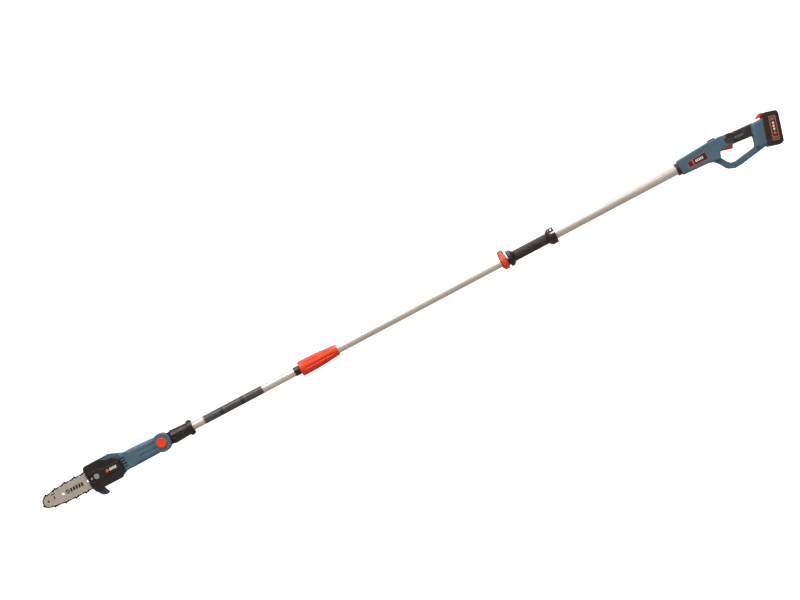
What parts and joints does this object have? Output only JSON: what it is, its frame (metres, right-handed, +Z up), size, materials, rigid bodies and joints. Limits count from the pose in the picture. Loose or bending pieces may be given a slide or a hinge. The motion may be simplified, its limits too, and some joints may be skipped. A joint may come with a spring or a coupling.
{
  "type": "telescoping pole saw",
  "caption": "Long-reach electric pruning saw: chain bar on a tilting head, two-part tube with union nut, telescoping rear tube, front grip, trigger handle and slide-on battery.",
  "frame": {"origin": "middle of the strap eye in the rear flange of the front grip", "axes": "+X along the pole towards the battery, -X towards the bar tip, +Z up (the trigger and hand guard hang below), +Y away from the bar cover"},
  "size_m": [2.8022, 0.0772, 0.1392],
  "materials": {
    "blue_shell": "fine spark-eroded moulded texture",
    "black_plastic": "satin glass-filled nylon",
    "orange_plastic": "smooth moulded",
    "black_rubber": "soft-touch overmould",
    "tube_aluminium": "drawn, satin anodised",
    "bar_steel": "ground and stamped plate",
    "chain_steel": "oiled, dark bright steel",
    "plated_steel": "zinc plated",
    "machined_steel": "turned and ground",
    "copper_and_board": "solder-masked board",
    "lead_jacket": "cable jacket",
    "cell_wrap": "shrink sleeve",
    "natural_nylon": "unfilled nylon"
  },
  "bodies": {
    "rear_pole": {"rear_tube": "tube_aluminium", "clamp_collar": "black_plastic", "clamp_pins": "plated_steel", "front_grip": "black_plastic", "front_grip_sleeve": "black_rubber", "tube_ring": "black_plastic", "tube_clamp": "black_plastic", "handle_shell_left": "blue_shell", "handle_shell_right": "blue_shell", "grip_overmould": "black_rubber", "handle_screws": "plated_steel", "switch_body": "black_plastic", "control_board": "copper_and_board", "terminal_block": "black_plastic", "coiled_lead": "lead_jacket", "trigger_spring": "plated_steel", "lock_off_spring": "plated_steel"},
    "middle_pole": {"middle_tube": "tube_aluminium", "slide_bush": "natural_nylon", "coupling_insert": "black_plastic", "lead_socket": "black_plastic", "middle_lead": "lead_jacket"},
    "front_pole": {"front_tube": "tube_aluminium", "front_lead": "lead_jacket", "front_ferrule": "black_plastic", "lead_plug": "black_plastic", "pole_socket": "black_plastic"},
    "union_nut": {"coupling_nut": "orange_plastic"},
    "saw_head": {"head_shell_left": "blue_shell", "head_shell_right": "blue_shell", "head_screws": "plated_steel", "motor_can": "machined_steel", "oil_tank": "natural_nylon", "bar_stud": "plated_steel", "shaft_bearings": "machined_steel", "sprocket_cover": "black_plastic", "bar_nut": "plated_steel", "pivot_bolt": "machined_steel", "tilt_spring": "plated_steel"},
    "tilt_lock": {"tilt_button": "orange_plastic", "index_gear": "machined_steel"},
    "cutting_bar": {"guide_bar": "bar_steel", "tension_pin": "machined_steel", "saw_chain": "chain_steel"},
    "tensioner": {"tension_screw": "plated_steel"},
    "sprocket": {"drive_sprocket": "machined_steel", "sprocket_shaft": "machined_steel", "bevel_gear": "machined_steel"},
    "rotor": {"motor_armature": "machined_steel"},
    "nose_wheel": {"nose_sprocket": "machined_steel"},
    "filler_cap": {"oil_cap": "black_plastic"},
    "flip_lever": {"clamp_lever": "orange_plastic"},
    "trigger_lever": {"trigger": "orange_plastic"},
    "plunger": {"switch_plunger": "natural_nylon"},
    "lock_off": {"lock_off_button": "orange_plastic"},
    "battery": {"battery_case_front": "black_plastic", "battery_case_rear": "black_plastic", "battery_cells": "cell_wrap"},
    "battery_release": {"battery_button": "orange_plastic"}
  },
  "joints": [
    {"name": "telescope", "type": "slide", "parent": "rear_pole", "child": "middle_pole", "axis": [1, 0, 0], "range_m": [0, 0.56], "deforming": ["coiled_lead"]},
    {"name": "pole_separation", "type": "slide", "parent": "middle_pole", "child": "front_pole", "axis": [-1, 0, 0], "range_m": [0, 0.06]},
    {"name": "union_nut_turn", "type": "hinge", "parent": "front_pole", "child": "union_nut", "pos_m": [-0.9635, 0, -0.0218], "axis": [1, 0, 0], "range_deg": [0, 540]},
    {"name": "head_tilt", "type": "hinge", "parent": "front_pole", "child": "saw_head", "pos_m": [-1.4895, 0, -0.0218], "axis": [0, -1, 0], "range_deg": [0, 60], "deforming": ["front_lead"]},
    {"name": "tilt_button_press", "type": "slide", "parent": "saw_head", "child": "tilt_lock", "axis": [0, 1, 0], "range_m": [0, 0.005], "stiffness_N_per_m": 450, "springref_m": -0.003, "deforming": ["tilt_spring"]},
    {"name": "bar_tension", "type": "slide", "parent": "saw_head", "child": "cutting_bar", "axis": [-1, 0, 0], "range_m": [0, 0.004], "deforming": ["saw_chain"]},
    {"name": "tension_screw_turn", "type": "hinge", "parent": "saw_head", "child": "tensioner", "pos_m": [-1.7535, 0, -0.0193], "axis": [0, 1, 0], "range_deg": [0, 720]},
    {"name": "sprocket_spin", "type": "hinge", "parent": "saw_head", "child": "sprocket", "pos_m": [-1.677, 0, -0.0193], "axis": [0, 1, 0], "continuous": true, "deforming": ["saw_chain"]},
    {"name": "motor_spin", "type": "hinge", "parent": "saw_head", "child": "rotor", "pos_m": [-1.6075, 0, -0.0193], "axis": [1, 0, 0], "continuous": true},
    {"name": "nose_spin", "type": "hinge", "parent": "cutting_bar", "child": "nose_wheel", "pos_m": [-1.919, 0, -0.0193], "axis": [0, 1, 0], "continuous": true},
    {"name": "oil_cap_turn", "type": "hinge", "parent": "saw_head", "child": "filler_cap", "pos_m": [-1.733, 0.0285, 0.0042], "axis": [0, 1, 0], "range_deg": [0, 90]},
    {"name": "flip_lever_swing", "type": "hinge", "parent": "rear_pole", "child": "flip_lever", "pos_m": [-0.1988, -0.009, 0.0092], "axis": [-1, 0, 0], "range_deg": [0, 100]},
    {"name": "trigger_pull", "type": "hinge", "parent": "rear_pole", "child": "trigger_lever", "pos_m": [0.6335, 0, -0.0278], "axis": [0, -1, 0], "range_deg": [0, 7], "stiffness_Nm_per_rad": 0.6, "springref_deg": -6.88, "deforming": ["trigger_spring"]},
    {"name": "plunger_travel", "type": "slide", "parent": "rear_pole", "child": "plunger", "axis": [0, 0, 1], "range_m": [0, 0.0042]},
    {"name": "lock_off_press", "type": "slide", "parent": "rear_pole", "child": "lock_off", "axis": [0, 0, -1], "range_m": [0, 0.003], "stiffness_N_per_m": 500, "springref_m": -0.003, "deforming": ["lock_off_spring"]},
    {"name": "battery_slide", "type": "slide", "parent": "rear_pole", "child": "battery", "axis": [0.2756, 0, 0.9613], "range_m": [0, 0.095]},
    {"name": "battery_release_press", "type": "slide", "parent": "battery", "child": "battery_release", "axis": [-0.2756, 0, -0.9613], "range_m": [0, 0.002], "stiffness_N_per_m": 900, "springref_m": -0.003}
  ],
  "couplings": [
    {"joint": "tension_screw_turn", "follows": "bar_tension", "rad_per_m": 3000},
    {"joint": "motor_spin", "follows": "sprocket_spin", "ratio": 3.3333},
    {"joint": "nose_spin", "follows": "sprocket_spin", "ratio": 0.66667},
    {"joint": "plunger_travel", "follows": "trigger_pull", "m_per_rad": 0.03}
  ]
}
